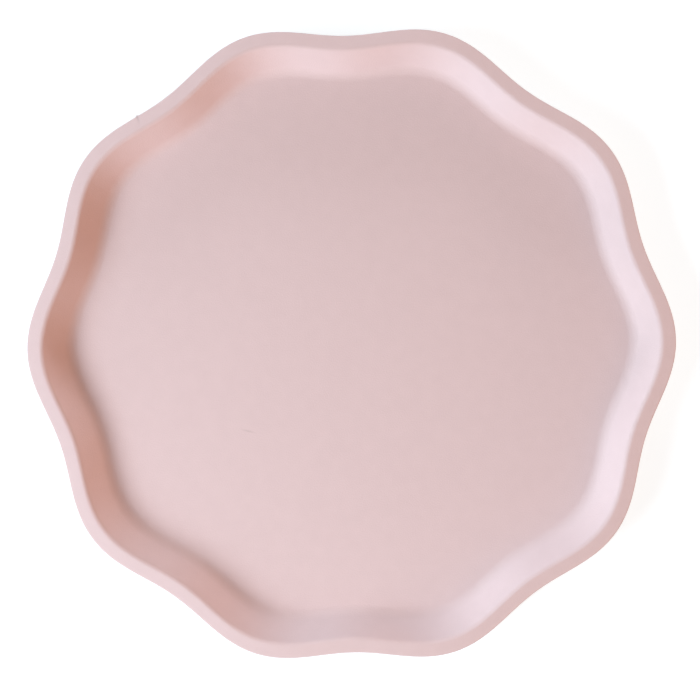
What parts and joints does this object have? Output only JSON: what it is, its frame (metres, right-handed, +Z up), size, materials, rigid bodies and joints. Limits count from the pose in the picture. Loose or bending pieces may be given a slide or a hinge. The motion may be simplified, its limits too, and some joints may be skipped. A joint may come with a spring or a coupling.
{
  "type": "scalloped dessert plate",
  "caption": "Shallow round dessert plate with a scalloped wall and narrow flat rim, press-formed from laminated paperboard with a blush pink printed face.",
  "frame": {"origin": "centre of the flat underside, on the surface that the plate stands on", "axes": "+Z up out of the well, along the plate's axis; +X through the tip of a scallop"},
  "size_m": [0.178, 0.172, 0.008],
  "materials": {
    "printed_face": "blush pink print under a matt varnish",
    "board": "bleached paperboard, bare at the cut edge",
    "plain_back": "plain white paper, uncoated"
  },
  "bodies": {
    "root": {"face_sheet": "printed_face", "core_board": "board", "back_sheet": "plain_back"}
  },
  "joints": []
}
